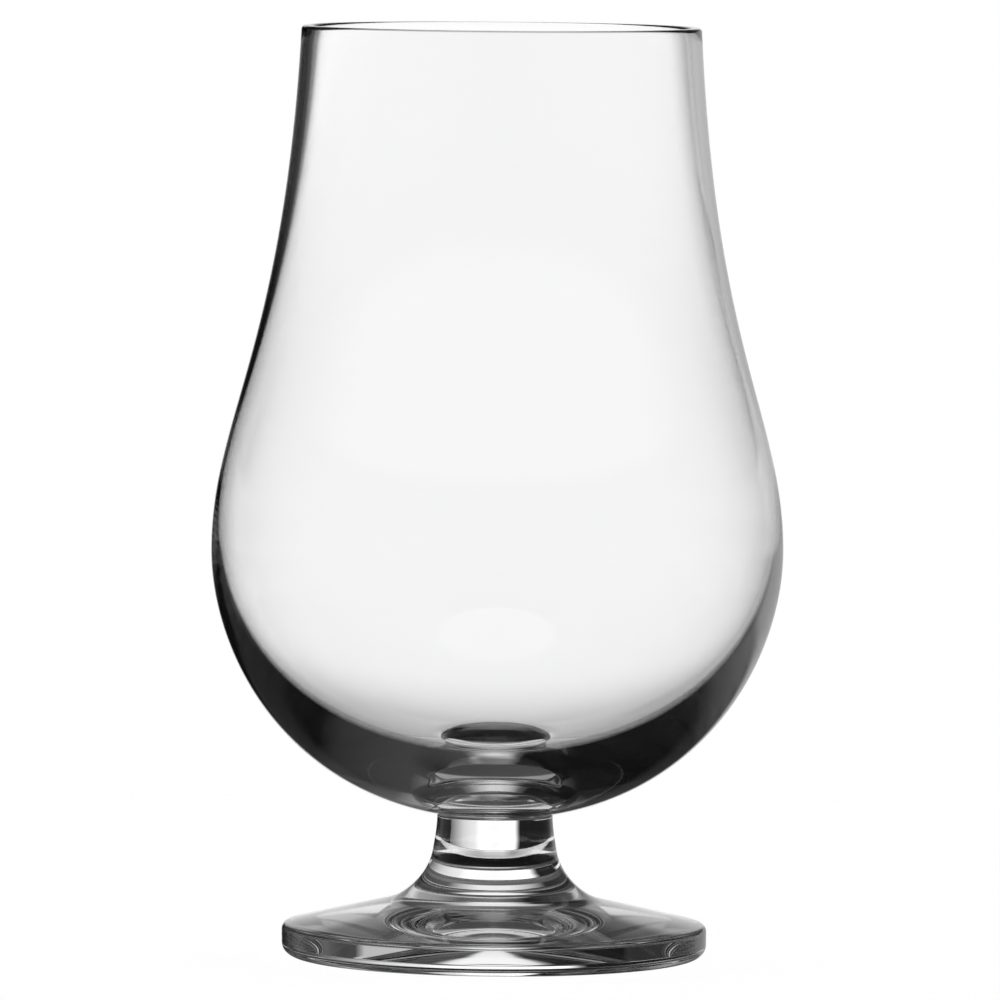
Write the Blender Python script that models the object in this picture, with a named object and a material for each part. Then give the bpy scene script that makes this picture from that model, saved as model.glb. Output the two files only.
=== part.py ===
"""Short-stemmed tulip glass for tasting rum, in metres, with its axis on Z and its foot on the XY plane.

A three-piece glass: a pressed foot, a short drawn stem and a blown bowl, fused while hot.
Each piece is a turned solid with its own origin on the axis at its lowest weld or standing face,
and each weld is a thin gap between two faces of the same shape.
"""

import math

import bmesh
import bpy
from mathutils import Vector

# Weld: what is left open between two fused faces
WELD_GAP = 0.0003

# Foot: a pressed disc with a sloping top that sweeps up into a neck
FOOT_DIAMETER = 0.0526
FOOT_EDGE_HEIGHT = 0.0039
FOOT_TOP_SLOPE = math.radians(13.2)
FOOT_TOP_ROUND = 0.0008
FOOT_BASE_ROUND = 0.0016
STANDING_RING_WIDTH = 0.0032
UNDERSIDE_RISE = 0.0012
FLARE_DIAMETER = 0.0270
FLARE_PULL = 0.0025

# Neck: where the foot meets the stem, so both take its size
NECK_HEIGHT = 0.0129
NECK_DIAMETER = 0.0153
NECK_TAPER = math.radians(9)
NECK_PULL = 0.0032

# Stem: a short drawn button, hollowed on top to seat the bowl
STEM_CORE_LENGTH = 0.0036
STEM_TOP_DIAMETER = 0.0143
STEM_TOP_ROUND = 0.00035

# Bowl: blown, thick in the base, thinnest on the shoulder
BOWL_HEIGHT = 0.0979
BELLY_HEIGHT = 0.0332
BELLY_DIAMETER = 0.0707
BASE_PULL = 0.0248
BELLY_PULL_DOWN = 0.0137
BELLY_PULL_UP = 0.0164
RIM_DIAMETER = 0.04935
RIM_LEAN = math.radians(2.9)
RIM_PULL = 0.0406
RIM_ROUND = 0.0005

# Cavity: the blown inside of the bowl, widest a little above the belly.
# Its curves have the outside's handles, each shorter by an inset, and lean more at the rim.
CAVITY_BASE_HEIGHT = 0.0051
BELLY_WALL = 0.0007
RIM_WALL = 0.0015
CAVITY_BELLY_RISE = 0.0022
BASE_PULL_INSET = 0.0009
BELLY_DOWN_INSET = 0.0003
BELLY_UP_INSET = 0.0017
RIM_PULL_INSET = 0.0012
RIM_LEAN_INSET = math.radians(0.7)

# Kick: the low dome in the cavity's floor, where the stem was pressed on while the bowl was soft
KICK_DIAMETER = 0.0172
KICK_HEIGHT = 0.0021
KICK_TOP_PULL = 0.0061
KICK_EDGE_PULL = 0.0030

# Facets
SEGMENTS = 60
BOWL_CURVE_STEPS = 16
SMALL_CURVE_STEPS = 5
ROUND_STEPS = 3

BOWL_BASE = NECK_HEIGHT + WELD_GAP + STEM_CORE_LENGTH + WELD_GAP


def clear_scene():
    for old in list(bpy.data.objects):
        bpy.data.objects.remove(old, do_unlink=True)


def glass_material(name, tint):
    material = bpy.data.materials.new(name)
    material.use_nodes = True
    shader = material.node_tree.nodes["Principled BSDF"]
    shader.inputs["Base Color"].default_value = (*tint, 1.0)
    shader.inputs["Roughness"].default_value = 0.02
    shader.inputs["Metallic"].default_value = 0.0
    shader.inputs["IOR"].default_value = 1.52
    shader.inputs["Transmission Weight"].default_value = 1.0
    return material


def bezier(corners, share):
    """Point at a share of a cubic curve, given by its two ends and the two handles between them."""
    start, pull_out, pull_in, end = corners
    rest = 1 - share
    return (
        start * rest**3
        + pull_out * 3 * share * rest**2
        + pull_in * 3 * share**2 * rest
        + end * share**3
    )


def bezier_direction(corners, share):
    """Unit vector along a cubic curve."""
    nudge = 0.001
    along = bezier(corners, min(share + nudge, 1)) - bezier(corners, max(share - nudge, 0))
    return along.normalized()


def curve_points(corners, steps, first_share=0.0):
    """Points of a cubic curve from a share of it to its end."""
    span = 1 - first_share
    return [bezier(corners, first_share + span * step / steps) for step in range(steps + 1)]


def share_at_radius(point_at, radius):
    """Share at which a curve that runs outwards, given as a function of the share, reaches a radius."""
    low, high = 0.0, 1.0
    for _ in range(40):
        share = (low + high) / 2
        low, high = (share, high) if point_at(share).x < radius else (low, share)
    return share


def rounded(before, corner, after, radius):
    """Arc that rounds off a corner of a profile, from the side before it to the side after it."""
    back = (before - corner).normalized()
    on = (after - corner).normalized()
    half_angle = back.angle(on) / 2
    to_centre = (back + on).normalized() * (radius / math.sin(half_angle))
    reach = radius / math.tan(half_angle)
    first = back * reach - to_centre
    last = on * reach - to_centre
    turn = first.angle(last)
    points = []
    for step in range(ROUND_STEPS + 1):
        share = step / ROUND_STEPS
        blend = first * math.sin((1 - share) * turn) + last * math.sin(share * turn)
        points.append(corner + to_centre + blend / math.sin(turn))
    return points


def turned(name, profile, origin_height, material, axis_empty):
    """Spins a profile of (radius, height) points, which starts and ends on the axis, into a solid."""
    mesh = bpy.data.meshes.new(name)
    shape = bmesh.new()
    ring = [shape.verts.new((point.x, 0, point.y)) for point in profile]
    edges = [shape.edges.new(pair) for pair in zip(ring, ring[1:])]
    bmesh.ops.spin(
        shape,
        geom=ring + edges,
        cent=(0, 0, 0),
        axis=(0, 0, 1),
        angle=math.tau,
        steps=SEGMENTS,
        use_merge=True,
    )
    bmesh.ops.remove_doubles(shape, verts=shape.verts, dist=1e-6)
    bmesh.ops.recalc_face_normals(shape, faces=shape.faces)
    shape.to_mesh(mesh)
    shape.free()
    mesh.shade_smooth()
    mesh.set_sharp_from_angle(angle=math.radians(35))
    mesh.materials.append(material)
    piece = bpy.data.objects.new(name, mesh)
    piece.location.z = origin_height
    piece.parent = axis_empty
    bpy.context.collection.objects.link(piece)
    return piece


def neck_direction():
    """Direction of the outline at the neck, downwards and a little outwards."""
    return Vector((math.sin(NECK_TAPER), -math.cos(NECK_TAPER)))


def foot_profile():
    """Down the neck and the sloping top to the edge, then in along the hollowed underside."""
    edge_radius = FOOT_DIAMETER / 2
    neck_edge = Vector((NECK_DIAMETER / 2, NECK_HEIGHT))
    slope = Vector((math.cos(FOOT_TOP_SLOPE), -math.sin(FOOT_TOP_SLOPE)))
    top_corner = Vector((edge_radius, FOOT_EDGE_HEIGHT))
    base_corner = Vector((edge_radius, 0))
    flare_end = top_corner - slope * ((edge_radius - FLARE_DIAMETER / 2) / slope.x)
    ring_inside = Vector((edge_radius - FOOT_BASE_ROUND - STANDING_RING_WIDTH, 0))
    flare = (
        neck_edge,
        neck_edge + neck_direction() * NECK_PULL,
        flare_end - slope * FLARE_PULL,
        flare_end,
    )
    profile = [Vector((0, NECK_HEIGHT))]
    profile += curve_points(flare, 2 * SMALL_CURVE_STEPS)
    profile += rounded(flare_end, top_corner, base_corner, FOOT_TOP_ROUND)
    profile += rounded(top_corner, base_corner, ring_inside, FOOT_BASE_ROUND)
    for step in range(SMALL_CURVE_STEPS + 1):
        inward = step / SMALL_CURVE_STEPS
        rise = UNDERSIDE_RISE * (1 - (1 - inward) ** 2)
        profile.append(Vector((ring_inside.x * (1 - inward), rise)))
    return profile


def bowl_underside():
    """Lower half of the bowl's outline, from the axis out to the belly, above the bowl's lowest point."""
    belly = Vector((BELLY_DIAMETER / 2, BELLY_HEIGHT))
    return (
        Vector((0, 0)),
        Vector((BASE_PULL, 0)),
        belly - Vector((0, BELLY_PULL_DOWN)),
        belly,
    )


def bowl_side():
    """Upper half of the bowl's outline, from the belly up to the rim."""
    belly = Vector((BELLY_DIAMETER / 2, BELLY_HEIGHT))
    rim = Vector((RIM_DIAMETER / 2, BOWL_HEIGHT))
    return (
        belly,
        belly + Vector((0, BELLY_PULL_UP)),
        rim + Vector((math.sin(RIM_LEAN), -math.cos(RIM_LEAN))) * RIM_PULL,
        rim,
    )


def seat_point(radius):
    """Point of the stem's seat at a radius, a weld gap below the underside of the bowl."""
    underside = bowl_underside()
    bowl_origin = Vector((0, STEM_CORE_LENGTH + WELD_GAP))

    def point_at(share):
        along = bezier_direction(underside, share)
        below = Vector((along.y, -along.x))
        return bezier(underside, share) + below * WELD_GAP

    return bowl_origin + point_at(share_at_radius(point_at, radius))


def stem_profile():
    """Out over the hollow seat, round its lip, down the tapering side and in across the neck weld."""
    top_radius = STEM_TOP_DIAMETER / 2
    seat_rim = top_radius - 2 * STEM_TOP_ROUND
    lip = seat_point(top_radius)
    neck_edge = Vector((NECK_DIAMETER / 2, 0))
    third = (lip - neck_edge).length / 3
    side = (
        lip,
        lip - Vector((0, third)),
        neck_edge - neck_direction() * third,
        neck_edge,
    )
    profile = [Vector((0, STEM_CORE_LENGTH))]
    for step in range(1, SMALL_CURVE_STEPS + 1):
        profile.append(seat_point(seat_rim * step / SMALL_CURVE_STEPS))
    profile += rounded(profile[-1], lip, bezier(side, 1 / 3), STEM_TOP_ROUND)
    profile += curve_points(side, SMALL_CURVE_STEPS)[2:]
    profile.append(Vector((0, 0)))
    return profile


def cavity_belly():
    return Vector((BELLY_DIAMETER / 2 - BELLY_WALL, BELLY_HEIGHT + CAVITY_BELLY_RISE))


def cavity_bottom():
    """Lower half of the cavity's outline without its kick, from the axis out to its widest point."""
    belly = cavity_belly()
    return (
        Vector((0, CAVITY_BASE_HEIGHT)),
        Vector((BASE_PULL - BASE_PULL_INSET, CAVITY_BASE_HEIGHT)),
        belly - Vector((0, BELLY_PULL_DOWN - BELLY_DOWN_INSET)),
        belly,
    )


def cavity_floor():
    """Points from the axis down over the kick, then out along the cavity's lower half."""
    bottom = cavity_bottom()
    edge_share = share_at_radius(lambda share: bezier(bottom, share), KICK_DIAMETER / 2)
    edge = bezier(bottom, edge_share)
    top = Vector((0, CAVITY_BASE_HEIGHT + KICK_HEIGHT))
    kick = (
        top,
        top + Vector((KICK_TOP_PULL, 0)),
        edge - bezier_direction(bottom, edge_share) * KICK_EDGE_PULL,
        edge,
    )
    points = curve_points(kick, 2 * SMALL_CURVE_STEPS)
    points += curve_points(bottom, BOWL_CURVE_STEPS, edge_share)[1:]
    return points


def cavity_side():
    """Upper half of the cavity's outline, from its widest point up to the rim."""
    belly = cavity_belly()
    rim = Vector((RIM_DIAMETER / 2 - RIM_WALL, BOWL_HEIGHT))
    lean = RIM_LEAN + RIM_LEAN_INSET
    return (
        belly,
        belly + Vector((0, BELLY_PULL_UP - BELLY_UP_INSET)),
        rim + Vector((math.sin(lean), -math.cos(lean))) * (RIM_PULL - RIM_PULL_INSET),
        rim,
    )


def bowl_profile():
    """Up the outside from the axis, over the rim with both its edges rounded, and down the cavity."""
    outside = curve_points(bowl_underside(), BOWL_CURVE_STEPS)
    outside += curve_points(bowl_side(), BOWL_CURVE_STEPS)[1:]
    inside = cavity_floor()
    inside += curve_points(cavity_side(), BOWL_CURVE_STEPS)[1:]
    outer_edge = outside.pop()
    inner_edge = inside.pop()
    edge_round = min(RIM_ROUND, 0.45 * RIM_WALL)
    profile = outside
    profile += rounded(outside[-1], outer_edge, inner_edge, edge_round)
    profile += rounded(outer_edge, inner_edge, inside[-1], edge_round)
    profile += reversed(inside)
    return profile


def build():
    clear_scene()
    axis_empty = bpy.data.objects.new("glass_axis", None)
    bpy.context.collection.objects.link(axis_empty)
    foot_glass = glass_material("foot_glass", (0.93, 0.95, 0.94))
    stem_glass = glass_material("stem_glass", (0.94, 0.96, 0.95))
    bowl_glass = glass_material("bowl_glass", (0.96, 0.97, 0.97))
    turned("foot", foot_profile(), 0, foot_glass, axis_empty)
    turned("stem", stem_profile(), NECK_HEIGHT + WELD_GAP, stem_glass, axis_empty)
    turned("bowl", bowl_profile(), BOWL_BASE, bowl_glass, axis_empty)


build()
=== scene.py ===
import math
from collections import namedtuple

import bmesh
import bpy
from mathutils import Matrix, Vector
from mathutils.geometry import interpolate_bezier


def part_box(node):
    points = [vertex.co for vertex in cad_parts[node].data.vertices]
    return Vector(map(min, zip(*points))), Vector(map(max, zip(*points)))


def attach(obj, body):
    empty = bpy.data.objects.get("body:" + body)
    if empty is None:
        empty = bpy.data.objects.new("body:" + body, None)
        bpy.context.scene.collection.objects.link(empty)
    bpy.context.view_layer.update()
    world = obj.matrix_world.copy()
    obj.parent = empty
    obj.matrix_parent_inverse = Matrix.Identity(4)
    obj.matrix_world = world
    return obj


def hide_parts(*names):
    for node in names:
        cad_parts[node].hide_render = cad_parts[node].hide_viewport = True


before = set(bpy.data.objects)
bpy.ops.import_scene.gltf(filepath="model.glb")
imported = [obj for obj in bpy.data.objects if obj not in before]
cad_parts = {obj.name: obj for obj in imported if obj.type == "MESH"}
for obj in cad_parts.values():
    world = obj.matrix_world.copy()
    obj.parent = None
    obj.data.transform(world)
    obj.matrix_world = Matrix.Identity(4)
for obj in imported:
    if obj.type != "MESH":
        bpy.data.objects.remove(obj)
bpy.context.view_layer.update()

# ---- Bowl ---------------------------------------------------------------------------------------
# Clear glass, blown in a turning mould, so it is round and has no seam. The wall is thick in the
# base, thin on the shoulder and thicker again at the cut and melted rim, and the floor keeps a low
# kick where the stem was pressed on.
bowl_low, bowl_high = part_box("bowl")
BOWL_BASE = bowl_low.z
RIM_HEIGHT = bowl_high.z
BELLY_RADIUS = bowl_high.x
WELD_RADIUS = 0.0074  # the stem is fused to the underside inside this
WELD_RISE = 0.000625
WELD_SLOPE = math.radians(9.99)
BASE_PULL = 0.002625
WELD_PULL_IN = 0.002346
WELD_PULL_OUT = 0.019816
BELLY_RISE = 0.0332
BELLY_PULL_DOWN = 0.01225
BELLY_PULL_UP = 0.0164
RIM_RADIUS = 0.024675
RIM_WALL = 0.0015
RIM_ROUND = 0.0005
RIM_LEAN = math.radians(2.9)
RIM_PULL = 0.0401
CAVITY_RADIUS = 0.03465
CAVITY_RISE = 0.0354
CAVITY_PULL_UP = 0.0147
CAVITY_PULL_DOWN = 0.011671
CAVITY_RIM_LEAN = math.radians(3.6)
CAVITY_RIM_PULL = 0.0389
KICK_RADIUS = 0.0086
KICK_EDGE_RISE = 0.0059
KICK_TOP_RISE = 0.0072
KICK_SLOPE = math.radians(11.075)
KICK_PULL_OUT = 0.018235
KICK_PULL_IN = 0.0030
KICK_TOP_PULL = 0.0061
TURN_STEPS = 300
WALL_STEPS = 56
FLOOR_STEPS = 28
SEAT_STEPS = 10
ROUND_STEPS = 6
SHARP_ANGLE = math.radians(35)
MERGE_DISTANCE = 1e-7
HAIR = 1e-6  # how far a face may lie from a flat end and still count as on it

# A knot of a turned outline: its place, the handles of the curves that reach and leave it, and how
# many steps the curve that leaves it takes.
Knot = namedtuple("Knot", "place back on steps", defaults=(None, None, 1))


def at(radius, height):
    return Vector((radius, 0, height))


def sloped(angle, length):
    """An arrow outwards from the axis that climbs at an angle."""
    return at(math.cos(angle), math.sin(angle)) * length


def rounded(before, corner, after, radius):
    """The two knots that round off the corner between two straight runs."""
    back = (before - corner).normalized()
    on = (after - corner).normalized()
    turn = math.pi - back.angle(on)
    reach = radius * math.tan(turn / 2)
    pull = radius * math.tan(turn / 4) * 4 / 3
    return (
        Knot(corner + back * reach, on=-back * pull, steps=ROUND_STEPS),
        Knot(corner + on * reach, back=-on * pull),
    )


def outline(knots):
    """The points along the curves between knots. A run without handles is straight."""
    points = [knots[0].place]
    for start, end in zip(knots, knots[1:]):
        if start.on is None or end.back is None:
            points.append(end.place)
            continue
        handles = start.place + start.on, end.place + end.back
        points += interpolate_bezier(start.place, *handles, end.place, start.steps + 1)[1:]
    return points


def placed(name, shape, *materials):
    """Makes a shape an object of the scene, with its materials in order."""
    mesh = bpy.data.meshes.new(name)
    shape.to_mesh(mesh)
    shape.free()
    for material in materials:
        mesh.materials.append(material)
    piece = bpy.data.objects.new(name, mesh)
    bpy.context.scene.collection.objects.link(piece)
    return piece


def turned(name, points, glass, is_weld):
    """Turns an outline round the axis. Faces where is_weld says so take the weld's material."""
    shape = bmesh.new()
    ring = [shape.verts.new(point) for point in points]
    line = [shape.edges.new(pair) for pair in zip(ring, ring[1:])]
    bmesh.ops.spin(
        shape, geom=ring + line, axis=(0, 0, 1), cent=(0, 0, 0),
        angle=math.tau, steps=TURN_STEPS, use_merge=True,
    )
    bmesh.ops.remove_doubles(shape, verts=shape.verts, dist=MERGE_DISTANCE)
    bmesh.ops.recalc_face_normals(shape, faces=shape.faces)
    for face in shape.faces:
        face.material_index = int(is_weld(face.calc_center_median()))
    piece = placed(name, shape, glass, weld)
    piece.data.shade_smooth()
    piece.data.set_sharp_from_angle(angle=SHARP_ANGLE)
    return piece


class Wire:
    """A socket in a shader tree. Arithmetic on it adds Math nodes, and node() any other node."""

    def __init__(self, socket):
        self.socket = socket

    @classmethod
    def node(cls, tree, kind, settings=None, inputs=None):
        """Adds a node, first its settings, then its inputs' values or links. Gives an output."""
        made = tree.nodes.new("ShaderNode" + kind)
        for name, value in (settings or {}).items():
            if name == "stops":
                cls.set_stops(made.color_ramp, value)
            else:
                setattr(made, name, value)
        for name, value in (inputs or {}).items():
            if isinstance(value, Wire):
                tree.links.new(value.socket, made.inputs[name])
            else:
                made.inputs[name].default_value = value
        return cls(made.outputs[0]) if made.outputs else None

    @staticmethod
    def set_stops(ramp, stops):
        ramp.elements.remove(ramp.elements[-1])
        for number, (place, shade) in enumerate(stops):
            stop = ramp.elements.new(place) if number else ramp.elements[0]
            stop.position = place
            stop.color = (shade, shade, shade, 1)

    def out(self, name):
        return Wire(self.socket.node.outputs[name])

    def maths(self, operation, *others):
        operands = dict(enumerate((self, *others)))
        return self.node(self.socket.id_data, "Math", {"operation": operation}, operands)

    def reflected(self, operation, other):
        operands = {0: other, 1: self}
        return self.node(self.socket.id_data, "Math", {"operation": operation}, operands)

    def __add__(self, other):
        return self.maths("ADD", other)

    def __sub__(self, other):
        return self.maths("SUBTRACT", other)

    def __mul__(self, other):
        return self.maths("MULTIPLY", other)

    def __truediv__(self, other):
        return self.maths("DIVIDE", other)

    def __lt__(self, other):
        return self.maths("LESS_THAN", other)

    def __rsub__(self, other):
        return self.reflected("SUBTRACT", other)

    def __rtruediv__(self, other):
        return self.reflected("DIVIDE", other)

    __radd__ = __add__
    __rmul__ = __mul__


GLASS_INDEX = 1.52
COLOUR_A, COLOUR_B, MIXED_COLOUR = 6, 7, 2  # where a Mix node takes and gives colours
WATER_WHITE = (1, 1, 1, 1)
SMEAR_SCALE = 60.0
SMEAR_ROUGHNESS = 0.012


def bare_material(name):
    """A new material and its empty shader tree."""
    material = bpy.data.materials.new(name)
    material.use_nodes = True
    material.node_tree.nodes.clear()
    return material, material.node_tree


def clear_glass(name, tint, cord_scale, cord_height):
    """Clear glass. Its cords, the faint streaks of the melt, run as cord_scale stretches them."""
    material, tree = bare_material(name)
    place = Wire.node(tree, "TexCoord").out("Object")
    along = Wire.node(tree, "Mapping", inputs={"Vector": place, "Scale": cord_scale})
    cords = Wire.node(tree, "TexNoise", inputs={"Vector": along, "Scale": 1.0, "Detail": 2.0})
    smears = Wire.node(
        tree, "TexNoise", inputs={"Vector": place, "Scale": SMEAR_SCALE, "Detail": 3.0}
    )
    colour = Wire.node(
        tree, "Mix", {"data_type": "RGBA"}, {"Factor": cords, COLOUR_A: WATER_WHITE, COLOUR_B: tint}
    ).out(MIXED_COLOUR)
    ripple = Wire.node(tree, "Bump", inputs={"Distance": cord_height, "Height": cords})
    shader = Wire.node(
        tree,
        "BsdfPrincipled",
        inputs={
            "Base Color": colour,
            "Roughness": smears * SMEAR_ROUGHNESS,
            "IOR": GLASS_INDEX,
            "Transmission Weight": 1.0,
            "Normal": ripple,
        },
    )
    Wire.node(tree, "OutputMaterial", inputs={"Surface": shader})
    return material


# Inside a weld the two glasses are one, so light crosses it unbent.
weld, tree = bare_material("weld")
unbent = Wire.node(tree, "BsdfTransparent")
Wire.node(tree, "OutputMaterial", inputs={"Surface": unbent})

weld_edge = at(WELD_RADIUS, BOWL_BASE + WELD_RISE)
underside = [
    Knot(at(0, BOWL_BASE), on=at(BASE_PULL, 0), steps=SEAT_STEPS),
    Knot(
        weld_edge,
        back=sloped(WELD_SLOPE, -WELD_PULL_IN),
        on=sloped(WELD_SLOPE, WELD_PULL_OUT),
        steps=WALL_STEPS,
    ),
]
outer_rim = at(RIM_RADIUS, RIM_HEIGHT)
inner_rim = at(RIM_RADIUS - RIM_WALL, RIM_HEIGHT)
down_outside = at(math.sin(RIM_LEAN), -math.cos(RIM_LEAN)) * RIM_PULL
down_inside = at(math.sin(CAVITY_RIM_LEAN), -math.cos(CAVITY_RIM_LEAN)) * CAVITY_RIM_PULL
rim_start, rim_outer = rounded(outer_rim + down_outside, outer_rim, inner_rim, RIM_ROUND)
rim_inner, rim_end = rounded(outer_rim, inner_rim, inner_rim + down_inside, RIM_ROUND)
bowl_outline = outline(
    underside
    + [
        Knot(
            at(BELLY_RADIUS, BOWL_BASE + BELLY_RISE),
            back=at(0, -BELLY_PULL_DOWN),
            on=at(0, BELLY_PULL_UP),
            steps=WALL_STEPS,
        ),
        rim_start._replace(back=down_outside),
        rim_outer,
        rim_inner,
        rim_end._replace(on=down_inside, steps=WALL_STEPS),
        Knot(
            at(CAVITY_RADIUS, BOWL_BASE + CAVITY_RISE),
            back=at(0, CAVITY_PULL_UP),
            on=at(0, -CAVITY_PULL_DOWN),
            steps=WALL_STEPS,
        ),
        Knot(
            at(KICK_RADIUS, BOWL_BASE + KICK_EDGE_RISE),
            back=sloped(KICK_SLOPE, KICK_PULL_OUT),
            on=sloped(KICK_SLOPE, -KICK_PULL_IN),
            steps=FLOOR_STEPS,
        ),
        Knot(at(0, BOWL_BASE + KICK_TOP_RISE), back=at(KICK_TOP_PULL, 0)),
    ]
)


def under_bowl(middle):
    return middle.z < weld_edge.z and middle.xy.length < WELD_RADIUS


BOWL_TINT = (0.99, 0.993, 0.991, 1)
BOWL_CORDS = (25, 25, 220)  # drawn out round the bowl as it was turned
BOWL_CORD_HEIGHT = 2e-6

bowl_glass = clear_glass("bowl_glass", BOWL_TINT, BOWL_CORDS, BOWL_CORD_HEIGHT)
bowl = turned("glass_bowl", bowl_outline, bowl_glass, under_bowl)
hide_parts("bowl")
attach(bowl, "root")

# ---- Stem ---------------------------------------------------------------------------------------
# A short solid button of hot glass, pressed onto the bowl's underside and drawn down to the neck.
# It is fused at both ends, and creeps into a small fillet at the lip, where it wets the bowl.
stem_low, stem_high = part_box("stem")
STEM_BASE = stem_low.z
STEM_RADIUS = 0.00715
NECK_RADIUS = stem_high.x
NECK_TAPER = math.radians(9)
LIP_DROP = 0.0004
LIP_PULL = 0.00015
STEM_PULL = 0.0013
SEAT_SHARE = 0.99  # of the stem's radius, which leaves the fillet out of the weld
STEM_TINT = (0.985, 0.99, 0.987, 1)
STEM_CORDS = (420, 420, 40)  # drawn out along the stem
STEM_CORD_HEIGHT = 1e-6

down_neck = at(math.sin(NECK_TAPER), -math.cos(NECK_TAPER))
neck_edge = at(NECK_RADIUS, STEM_BASE)
stem_side = [
    Knot(weld_edge, on=sloped(WELD_SLOPE, -LIP_PULL), steps=ROUND_STEPS),
    Knot(
        at(STEM_RADIUS, weld_edge.z - LIP_DROP),
        back=at(0, LIP_PULL),
        on=at(0, -STEM_PULL),
        steps=FLOOR_STEPS,
    ),
    Knot(neck_edge, back=-down_neck * STEM_PULL),
    Knot(at(0, STEM_BASE)),
]
stem_outline = outline(underside)[:-1] + outline(stem_side)


def stem_ends(middle):
    on_seat = middle.z > BOWL_BASE - HAIR and middle.xy.length < SEAT_SHARE * STEM_RADIUS
    return on_seat or middle.z < STEM_BASE + HAIR


stem_glass = clear_glass("stem_glass", STEM_TINT, STEM_CORDS, STEM_CORD_HEIGHT)
stem = turned("glass_stem", stem_outline, stem_glass, stem_ends)
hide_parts("stem")
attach(stem, "root")

# ---- Foot ---------------------------------------------------------------------------------------
# A gather cast onto the stem and pressed into a disc. The top sweeps up into the neck, the edge is
# left round, and the underside is hollowed so that the glass stands on a flat ring.
_, foot_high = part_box("foot")
FOOT_RADIUS = foot_high.x
FOOT_EDGE_HEIGHT = 0.0039
FOOT_SLOPE = math.radians(13.2)
FOOT_TOP_ROUND = 0.0008
FOOT_BASE_ROUND = 0.0016
STANDING_RING_WIDTH = 0.0032
UNDERSIDE_RISE = 0.0012
FLARE_RADIUS = 0.0135
FLARE_PULL = 0.0025
NECK_PULL = 0.0032
FOOT_TINT = (0.985, 0.99, 0.987, 1)
FOOT_CORDS = (70, 70, 70)
FOOT_CORD_HEIGHT = 2e-6

edge_top = at(FOOT_RADIUS, FOOT_EDGE_HEIGHT)
edge_base = at(FOOT_RADIUS, 0)
up_slope = sloped(-FOOT_SLOPE, -1)
flare_end = edge_top + up_slope * (FOOT_RADIUS - FLARE_RADIUS) / math.cos(FOOT_SLOPE)
ring_inside = at(FOOT_RADIUS - FOOT_BASE_ROUND - STANDING_RING_WIDTH, 0)
hollow_pull = ring_inside.x / 3  # thirds give the hollow one even curve
foot_outline = outline(
    [
        Knot(at(0, STEM_BASE)),
        Knot(neck_edge, on=down_neck * NECK_PULL, steps=FLOOR_STEPS),
        Knot(flare_end, back=up_slope * FLARE_PULL),
        *rounded(flare_end, edge_top, edge_base, FOOT_TOP_ROUND),
        *rounded(edge_top, edge_base, ring_inside, FOOT_BASE_ROUND),
        Knot(ring_inside, on=at(-hollow_pull, UNDERSIDE_RISE * 2 / 3), steps=FLOOR_STEPS),
        Knot(at(0, UNDERSIDE_RISE), back=at(hollow_pull, 0)),
    ]
)


def foot_top(middle):
    return middle.z > STEM_BASE - HAIR


foot_glass = clear_glass("foot_glass", FOOT_TINT, FOOT_CORDS, FOOT_CORD_HEIGHT)
foot = turned("glass_foot", foot_outline, foot_glass, foot_top)
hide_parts("foot")
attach(foot, "root")

# ---- Table --------------------------------------------------------------------------------------
# A round of matt white board that the glass stands on. Its edge is lost in the white of the studio,
# and the glass shows the studio's floor in its place.
TABLE_RADIUS = 0.22
TABLE_SIDES = 96
TABLE_WHITE = (0.96, 0.96, 0.96, 1)

board, tree = bare_material("white_board")
matt = Wire.node(tree, "BsdfDiffuse", inputs={"Color": TABLE_WHITE})
Wire.node(tree, "OutputMaterial", inputs={"Surface": matt})
shape = bmesh.new()
bmesh.ops.create_circle(shape, cap_ends=True, segments=TABLE_SIDES, radius=TABLE_RADIUS)
table = placed("table", shape, board)
table.visible_transmission = False
table.visible_glossy = False

# ---- Cards --------------------------------------------------------------------------------------
# Two low black cards, bent round the back of the foot, that draw the dark sides of the stem. They
# are out of the picture, and only light that goes straight through one body of glass meets them.
CARD_RADIUS = 0.029
CARD_BASE = 0.0005
CARD_TOP = 0.014
CARD_SPANS = {"left_card": (-82, -16), "right_card": (28, 82)}  # degrees right of straight behind
CARD_STEPS = 24
CARD_BLACK = (0.008, 0.008, 0.008, 1)


def up_to(count, most):
    """1 where a count of a ray's turns is no more than a number, and 0 elsewhere."""
    return count < most + 0.5


black, tree = bare_material("black_card")
path = Wire.node(tree, "LightPath")
met = up_to(path.out("Transmission Depth"), 2) * up_to(path.out("Glossy Depth"), 0)
unseen = Wire.node(tree, "BsdfTransparent")
matt = Wire.node(tree, "BsdfDiffuse", inputs={"Color": CARD_BLACK})
surface = Wire.node(tree, "MixShader", inputs={0: met, 1: unseen, 2: matt})
Wire.node(tree, "OutputMaterial", inputs={"Surface": surface})
for name, (start, end) in CARD_SPANS.items():
    shape = bmesh.new()
    ends = [shape.verts.new((0, CARD_RADIUS, height)) for height in (CARD_BASE, CARD_TOP)]
    edge = shape.edges.new(ends)
    bmesh.ops.rotate(shape, verts=ends, matrix=Matrix.Rotation(-math.radians(start), 3, "Z"))
    bmesh.ops.spin(
        shape, geom=[*ends, edge], axis=(0, 0, -1), cent=(0, 0, 0),
        angle=math.radians(end - start), steps=CARD_STEPS,
    )
    card = placed(name, shape, black)
    card.visible_camera = False
    card.visible_diffuse = False
    card.visible_glossy = False
    card.visible_shadow = False

# ---- Studio -------------------------------------------------------------------------------------
# Soft white light from all round lights the table. What shows through the glass and on it is a
# white backdrop behind, between black cards at the sides, and the rest of the studio is dim.
SOFT_LIGHT = 1.04
BACKGROUND_WHITE = 1.0
DIM_FLOOR = 0.05
DIM_CEILING = 0.1

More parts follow.
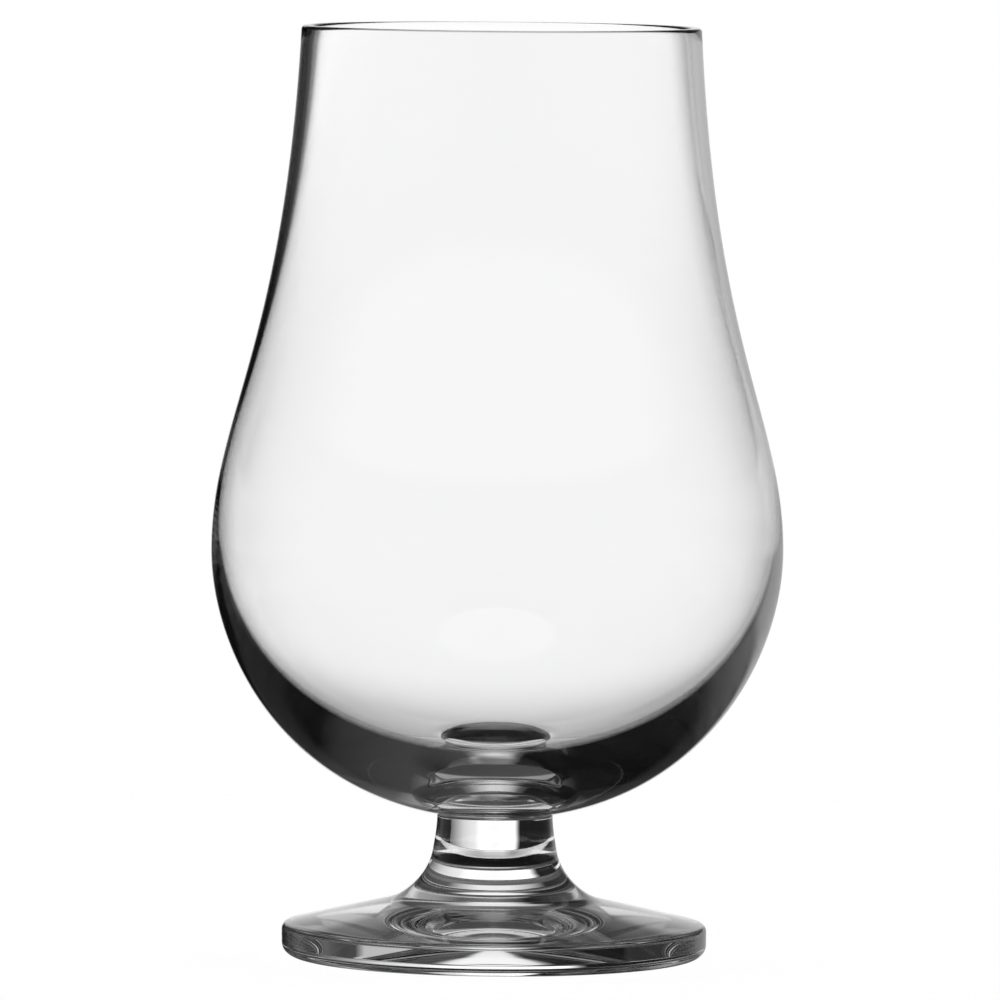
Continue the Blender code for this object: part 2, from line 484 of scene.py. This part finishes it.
# How bright the studio is all round, in degrees right of straight behind. First come the parts that
# show straight through the glass: behind the bowl, beside the stem and foot, and below the bowl.
BACKDROP = (
    (-180, 1.08), (-36, 1.08), (-31, 0.008), (-17.5, 0.008), (-16, 0.55), (-15, 0.9), (-13.5, 1.3),
    (-9, 1.36), (-6, 1.2), (-3, 1.09), (0, 1.06), (4, 1.09), (8, 1.2), (11, 1.1), (14, 0.9),
    (18, 0.84), (24, 0.7), (30, 0.45), (36, 0.25), (41, 0.12), (44, 1.08), (180, 1.08),
)
CARDS = (
    (-180, 1.08), (-82, 1.08), (-66, 0.008), (-17.5, 0.008), (-16, 0.55), (-15, 0.9), (-13.5, 1.3),
    (-9, 1.36), (-6, 1.22), (-3, 1.12), (0, 1.09), (4, 1.12), (8, 1.22), (11, 1.1), (14, 0.9),
    (18, 0.84), (24, 0.7), (30, 0.45), (36, 0.3), (45, 0.1), (55, 0.01), (68, 0.01), (85, 1.08),
    (180, 1.08),
)
FLOOR = ((-180, 1.08), (-40, 1.08), (-17, 0.55), (17, 0.5), (40, 1.08), (180, 1.08))
DEEP_FLOOR = 1.08

# Then those that the glass mirrors once or twice. What the wall mirrors lies lowest, and it stops
# at a lower angle out at the SIDES.
SIDES = ((-180, 1), (-29, 1), (-27, 0), (27, 0), (29, 1), (180, 1))
WALL_MIRRORED = (
    (-180, 0.12), (-120, 0.12), (-60, 0.28), (-50, 0.4), (-43, 0.25), (-37, 0.06), (-30, 0.06),
    (-27, 0.004), (-11, 0.004), (-6, 0.9), (6, 0.9), (9, 0.57), (20, 0.54), (36, 0.52), (42, 0.28),
    (56, 0.1), (120, 0.12), (180, 0.12),
)
MIRRORED = (
    (-180, 0.12), (-120, 0.12), (-60, 0.28), (-48, 0.03), (-18, 0.02), (-11, 0.55), (-4, 0.9),
    (5, 0.9), (11, 0.5), (16, 0.1), (34, 0.05), (43, 0.12), (54, 0.04), (75, 0.2), (120, 0.12),
    (180, 0.12),
)
MIRRORED_CEILING = (
    (-180, 0.9), (-110, 0.9), (-75, 0.1), (-50, 0.05), (-12, 0.1), (12, 0.2), (50, 0.1), (75, 0.1),
    (110, 0.9), (180, 0.9),
)
MIRRORED_FLOOR = (
    (-180, 0.01), (-18, 0.01), (-14, 0.3), (-11, 0.85), (-6, 1), (8, 1), (12, 0.85), (15, 0.3),
    (18, 0.06), (40, 0.08), (50, 0.02), (180, 0.01),
)

# Last, those whose light turns about in the glass three times, up to six times, and more.
RETURNED_ONCE = (
    (-180, 0.01), (-46, 0.01), (-41, 0.15), (-36, 0.65), (-32, 0.65), (-28, 0.08), (-10, 0),
    (0, 0.2), (10, 0.1), (18, 0.3), (27, 0.4), (32, 0.85), (36, 0.85), (41, 0.2), (46, 0.03),
    (180, 0.01),
)
RETURNED = (
    (-180, 0.3), (-140, 0.3), (-105, 0.01), (-50, 0.02), (-18, 0.02), (-14, 0.15), (-9, 0.4),
    (0, 0.35), (9, 0.2), (15, 0.4), (20, 0.12), (30, 0.08), (45, 0.1), (60, 0.03), (105, 0.01),
    (140, 0.3), (180, 0.3),
)
RETURNED_CEILING = (
    (-180, 0.3), (-140, 0.3), (-105, 0.01), (-67, 0.12), (-54, 0.22), (-43, 0.12), (-34, 0.04),
    (-10, 0.01), (0, 0.06), (10, 0.06), (30, 0.08), (43, 0.28), (54, 0.4), (67, 0.18), (105, 0.02),
    (140, 0.3), (180, 0.3),
)
RETURNED_FLOOR = (
    (-180, 0.01), (-105, 0.01), (-85, 0.15), (-67, 0.2), (-54, 0.08), (-40, 0.02), (-20, 0.02),
    (-9, 0.22), (9, 0.16), (15, 0.25), (24, 0.1), (40, 0.1), (54, 0.16), (67, 0.28), (85, 0.22),
    (105, 0.01), (180, 0.01),
)
GUIDED = (
    (-180, 0.2), (-150, 0.18), (-107, 0.06), (-85, 0.006), (-20, 0.006), (-14, 0.12), (-9, 0.5),
    (-3, 0.72), (3, 0.72), (9, 0.5), (15, 0.2), (21, 0.06), (54, 0.035), (67, 0.006), (165, 0.006),
    (180, 0.2),
)

# The angles of view, in degrees, over which one part of the studio gives way to the next above it.
FLOOR_LINE = (-31, -17)
DEEP_LINE = (-64, -56)
STEM_LINE = (-6, -3)
STEM_DEEP_LINE = (-48, -38)
WALL_LINE = (6, 8)
SIDE_WALL_LINE = (4.9, 5.3)
CEILING_LINE = (18, 24)
MIRRORED_LINE = (-16, -12)
MIRRORED_DEEP_LINE = (-34, -26)
RETURNED_LINE = (-13, -7)
RETURNED_CEILING_LINE = (5, 9)
GUIDED_LINE = (-11, -8)
MIRRORINGS = 48
CROSSINGS = 32

scene = bpy.context.scene
studio = bpy.data.worlds.new("studio")
scene.world = studio
studio.use_nodes = True
tree = studio.node_tree
tree.nodes.clear()
view = Wire.node(tree, "TexCoord").out("Generated")
way = Wire.node(tree, "SeparateXYZ", inputs={"Vector": view})
bearing = way.maths("ARCTAN2", way.out("Y")) / math.tau + 0.5
climb = way.out("Z").maths("ARCSINE")


def all_round(stops):
    """Brightness all round the studio, from stops in degrees to the right of straight behind."""
    places = [(0.5 + degrees / 360, shade) for degrees, shade in stops]
    return Wire.node(tree, "ValToRGB", {"stops": places}, {"Fac": bearing})


def above(start, end):
    """A smooth rise from 0 to 1 as the view climbs between two angles in degrees."""
    ends = {"Value": climb, "From Min": math.radians(start), "From Max": math.radians(end)}
    return Wire.node(tree, "MapRange", {"interpolation_type": "SMOOTHSTEP"}, ends)


def pick(share, yes, no):
    """One value where share is 1 and another where it is 0, and a mix of them between."""
    return yes * share + no * (1 - share)


path = Wire.node(tree, "LightPath")
bounces = path.out("Glossy Depth")
crossings = path.out("Transmission Depth")
solid = up_to(crossings, 2)
in_and_out = solid - up_to(crossings, 0)
backdrop = all_round(BACKDROP)
floor = pick(above(*DEEP_LINE), all_round(FLOOR), DEEP_FLOOR)
through_bowl = pick(above(*FLOOR_LINE), backdrop, floor)
below_stem = pick(above(*STEM_DEEP_LINE), backdrop, DEEP_FLOOR)
through_stem = pick(above(*STEM_LINE), all_round(CARDS), below_stem)
through = pick(solid, through_stem, through_bowl)

over_wall = pick(all_round(SIDES), above(*SIDE_WALL_LINE), above(*WALL_LINE))
mirrored = pick(over_wall, all_round(MIRRORED), all_round(WALL_MIRRORED))
ceiling = pick(in_and_out, all_round(MIRRORED_CEILING), DIM_CEILING)
mirrored = pick(above(*CEILING_LINE), ceiling, mirrored)
below = all_round(MIRRORED_FLOOR) * in_and_out * (1 - up_to(bounces, 1))
below = pick(above(*MIRRORED_DEEP_LINE), DIM_FLOOR, below)
mirrored = pick(above(*MIRRORED_LINE), mirrored, below)

returned = pick(above(*RETURNED_LINE), all_round(RETURNED), all_round(RETURNED_FLOOR))
returned = pick(above(*RETURNED_CEILING_LINE), all_round(RETURNED_CEILING), returned)
returned = pick(up_to(bounces, 3), all_round(RETURNED_ONCE), returned)
guided = all_round(GUIDED) * above(*GUIDED_LINE)

often = pick(up_to(bounces, 6), returned, guided)
seen = pick(up_to(bounces, 0), through, pick(up_to(bounces, 2), mirrored, often))
in_glass = path.out("Is Transmission Ray").maths("MAXIMUM", path.out("Is Glossy Ray"))
in_glass = in_glass * up_to(path.out("Diffuse Depth"), 0)
shown = pick(path.out("Is Camera Ray"), BACKGROUND_WHITE, pick(in_glass, seen, SOFT_LIGHT))
light = Wire.node(tree, "Background", inputs={"Color": shown, "Strength": 1.0})
Wire.node(tree, "OutputWorld", inputs={"Surface": light})
scene.view_settings.view_transform = "Standard"
scene.cycles.max_bounces = MIRRORINGS
scene.cycles.glossy_bounces = MIRRORINGS
scene.cycles.transmission_bounces = CROSSINGS
scene.cycles.transparent_max_bounces = CROSSINGS
scene.cycles.blur_glossy = 0

# ---- Camera -------------------------------------------------------------------------------------
# A long lens from a little above the rim, looking down by less than 4 degrees, so that the mouth
# and the foot show as narrow ovals. It is rolled a little, because the glass in the photograph
# leans.
LENS = 411.84
CAMERA_PLACE = (0, -1.410, 0.14807)
LOOK_DOWN = math.radians(3.715)
LOOK_RIGHT = math.radians(0.0115)
ROLL = math.radians(0.5)

lens = bpy.data.cameras.new("camera")
lens.lens = LENS
camera = bpy.data.objects.new("camera", lens)
camera.matrix_world = (
    Matrix.Translation(CAMERA_PLACE)
    @ Matrix.Rotation(-LOOK_RIGHT, 4, "Z")
    @ Matrix.Rotation(math.pi / 2 - LOOK_DOWN, 4, "X")
    @ Matrix.Rotation(ROLL, 4, "Z")
)
scene.collection.objects.link(camera)
scene.camera = camera
